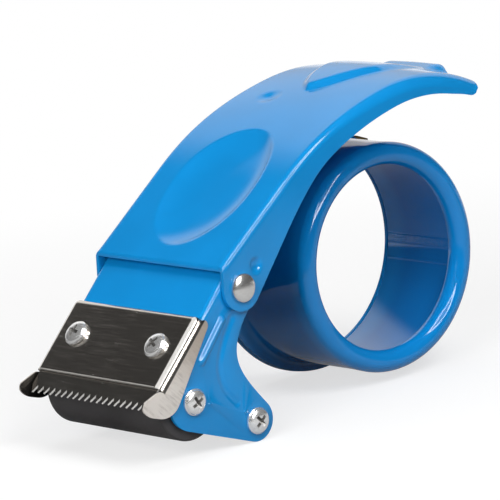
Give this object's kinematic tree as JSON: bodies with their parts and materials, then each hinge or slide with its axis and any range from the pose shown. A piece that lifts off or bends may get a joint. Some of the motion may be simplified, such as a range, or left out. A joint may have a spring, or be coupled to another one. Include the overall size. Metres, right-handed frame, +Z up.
{
  "type": "packing tape dispenser",
  "caption": "Hand-held pressed-steel tape dispenser: sprung curved handle over a drum for the roll, rubber pressing roller, toothed blade under a bright guard.",
  "frame": {"origin": "middle of the bottom of the part's box, on the surface it stands on", "axes": "+X from the blade to the handle's tail, +Y from the drum's open side to the arm, +Z up"},
  "size_m": [0.1608, 0.0686, 0.1024],
  "materials": {
    "cover_paint": "glossy blue enamel on pressed steel sheet",
    "frame_paint": "glossy blue enamel on pressed steel sheet",
    "drum_paint": "glossy blue enamel on pressed steel sheet",
    "guard_steel": "bright face with satin cut cheeks",
    "blade_steel": "hardened strip, ground teeth",
    "screw_zinc": "bright zinc plate",
    "rivet_steel": "polished dome",
    "shaft_steel": "drawn bar and tube",
    "roller_rubber": "matt black rubber",
    "bush_plastic": "moulded bearing plastic",
    "spring_brass": "yellow passivated spring wire"
  },
  "bodies": {
    "frame": {"head_frame": "frame_paint", "hub_drum": "drum_paint", "pivot_rivet_near": "rivet_steel", "pivot_rivet_far": "rivet_steel", "blade_guard": "guard_steel", "cutting_blade": "blade_steel", "blade_screw_near": "screw_zinc", "blade_screw_far": "screw_zinc", "roller_axle": "shaft_steel", "roller_screw_near": "screw_zinc", "roller_screw_far": "screw_zinc", "guide_axle": "shaft_steel", "guide_screw_near": "screw_zinc", "guide_screw_far": "screw_zinc", "spring_stud": "rivet_steel", "return_spring": "spring_brass"},
    "handle": {"handle_cover": "cover_paint"},
    "roller": {"roller_sleeve": "roller_rubber", "roller_core": "shaft_steel", "roller_bush_near": "bush_plastic", "roller_bush_far": "bush_plastic"},
    "guide": {"guide_roller": "shaft_steel"}
  },
  "joints": [
    {"name": "handle_squeeze", "type": "hinge", "parent": "frame", "child": "handle", "pos_m": [-0.03775, -0.00125, 0.04876], "axis": [0, 1, 0], "range_deg": [0, 5], "stiffness_Nm_per_rad": 1.7, "springref_deg": -5.16, "deforming": ["return_spring"]},
    {"name": "roller_spin", "type": "hinge", "parent": "frame", "child": "roller", "pos_m": [-0.06, -0.00125, 0.0179], "axis": [0, 1, 0], "continuous": true},
    {"name": "guide_roller_spin", "type": "hinge", "parent": "frame", "child": "guide", "pos_m": [-0.036, -0.00125, 0.0066], "axis": [0, 1, 0], "continuous": true}
  ]
}
